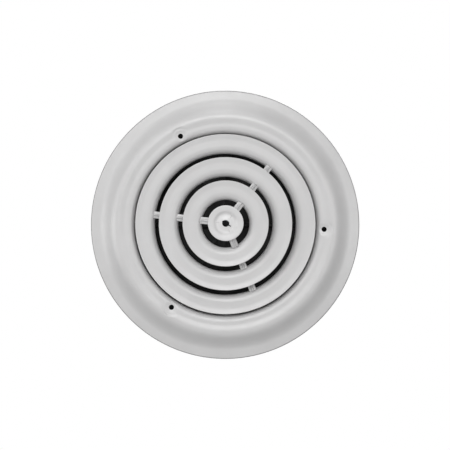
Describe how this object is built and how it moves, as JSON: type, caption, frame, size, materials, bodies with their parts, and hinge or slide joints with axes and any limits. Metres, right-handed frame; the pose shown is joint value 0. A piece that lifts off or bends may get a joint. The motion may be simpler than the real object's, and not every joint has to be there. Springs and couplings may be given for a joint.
{
  "type": "ceiling air diffuser",
  "caption": "Round white step-down ceiling air diffuser with dished face frame, concentric air rings, notched centre disc and screw-driven butterfly damper.",
  "frame": {"origin": "centre of the ceiling plane: the back of the frame's rim lies on z = 0", "axes": "+Z along the duct neck, up into the ceiling; the face looks along -Z; +X is level with the first screw seat (3 degrees off it) and along the damper's hinge rod"},
  "size_m": [0.2954, 0.2954, 0.0811],
  "materials": {
    "white_enamel": "satin white powder coat on pressed steel",
    "black_enamel": "matt black paint on pressed steel",
    "zinc_plate": "bright zinc plate",
    "black_oxide": "black oxide"
  },
  "bodies": {
    "diffuser": {"face_frame": "white_enamel", "duct_collar": "white_enamel", "ring_large": "white_enamel", "ring_medium": "white_enamel", "ring_small": "white_enamel", "centre_disc": "white_enamel", "arm_1": "white_enamel", "arm_2": "white_enamel", "arm_3": "white_enamel", "damper_ring": "black_enamel", "damper_bridge": "black_enamel", "hinge_rod": "black_oxide", "thrust_washer": "zinc_plate", "damper_rivet_1": "zinc_plate", "damper_rivet_2": "zinc_plate", "damper_rivet_3": "zinc_plate", "damper_rivet_4": "zinc_plate"},
    "damper_blade_a": {"damper_blade_a": "black_enamel"},
    "damper_blade_b": {"damper_blade_b": "black_enamel"},
    "travel_nut": {"travel_nut": "zinc_plate", "nut_pin_a": "zinc_plate", "nut_pin_b": "zinc_plate"},
    "adjusting_screw": {"adjusting_screw": "black_oxide", "retaining_clip": "zinc_plate"}
  },
  "joints": [
    {"name": "blade_a_swing", "type": "hinge", "parent": "diffuser", "child": "damper_blade_a", "pos_m": [0, 0, 0.036], "axis": [1, 0, 0], "range_deg": [0, 80]},
    {"name": "blade_b_swing", "type": "hinge", "parent": "diffuser", "child": "damper_blade_b", "pos_m": [0, 0, 0.036], "axis": [-1, 0, 0], "range_deg": [0, 80]},
    {"name": "nut_travel", "type": "slide", "parent": "diffuser", "child": "travel_nut", "axis": [0, 0, 1], "range_m": [0, 0.0127]},
    {"name": "screw_turn", "type": "hinge", "parent": "diffuser", "child": "adjusting_screw", "pos_m": [0, 0, 0.02], "axis": [0, 0, 1], "range_deg": [-3600, 0]}
  ],
  "couplings": [
    {"joint": "blade_b_swing", "follows": "blade_a_swing", "ratio": 1},
    {"joint": "nut_travel", "follows": "blade_a_swing", "m_per_rad": 0.0090956},
    {"joint": "screw_turn", "follows": "blade_a_swing", "ratio": -45}
  ]
}
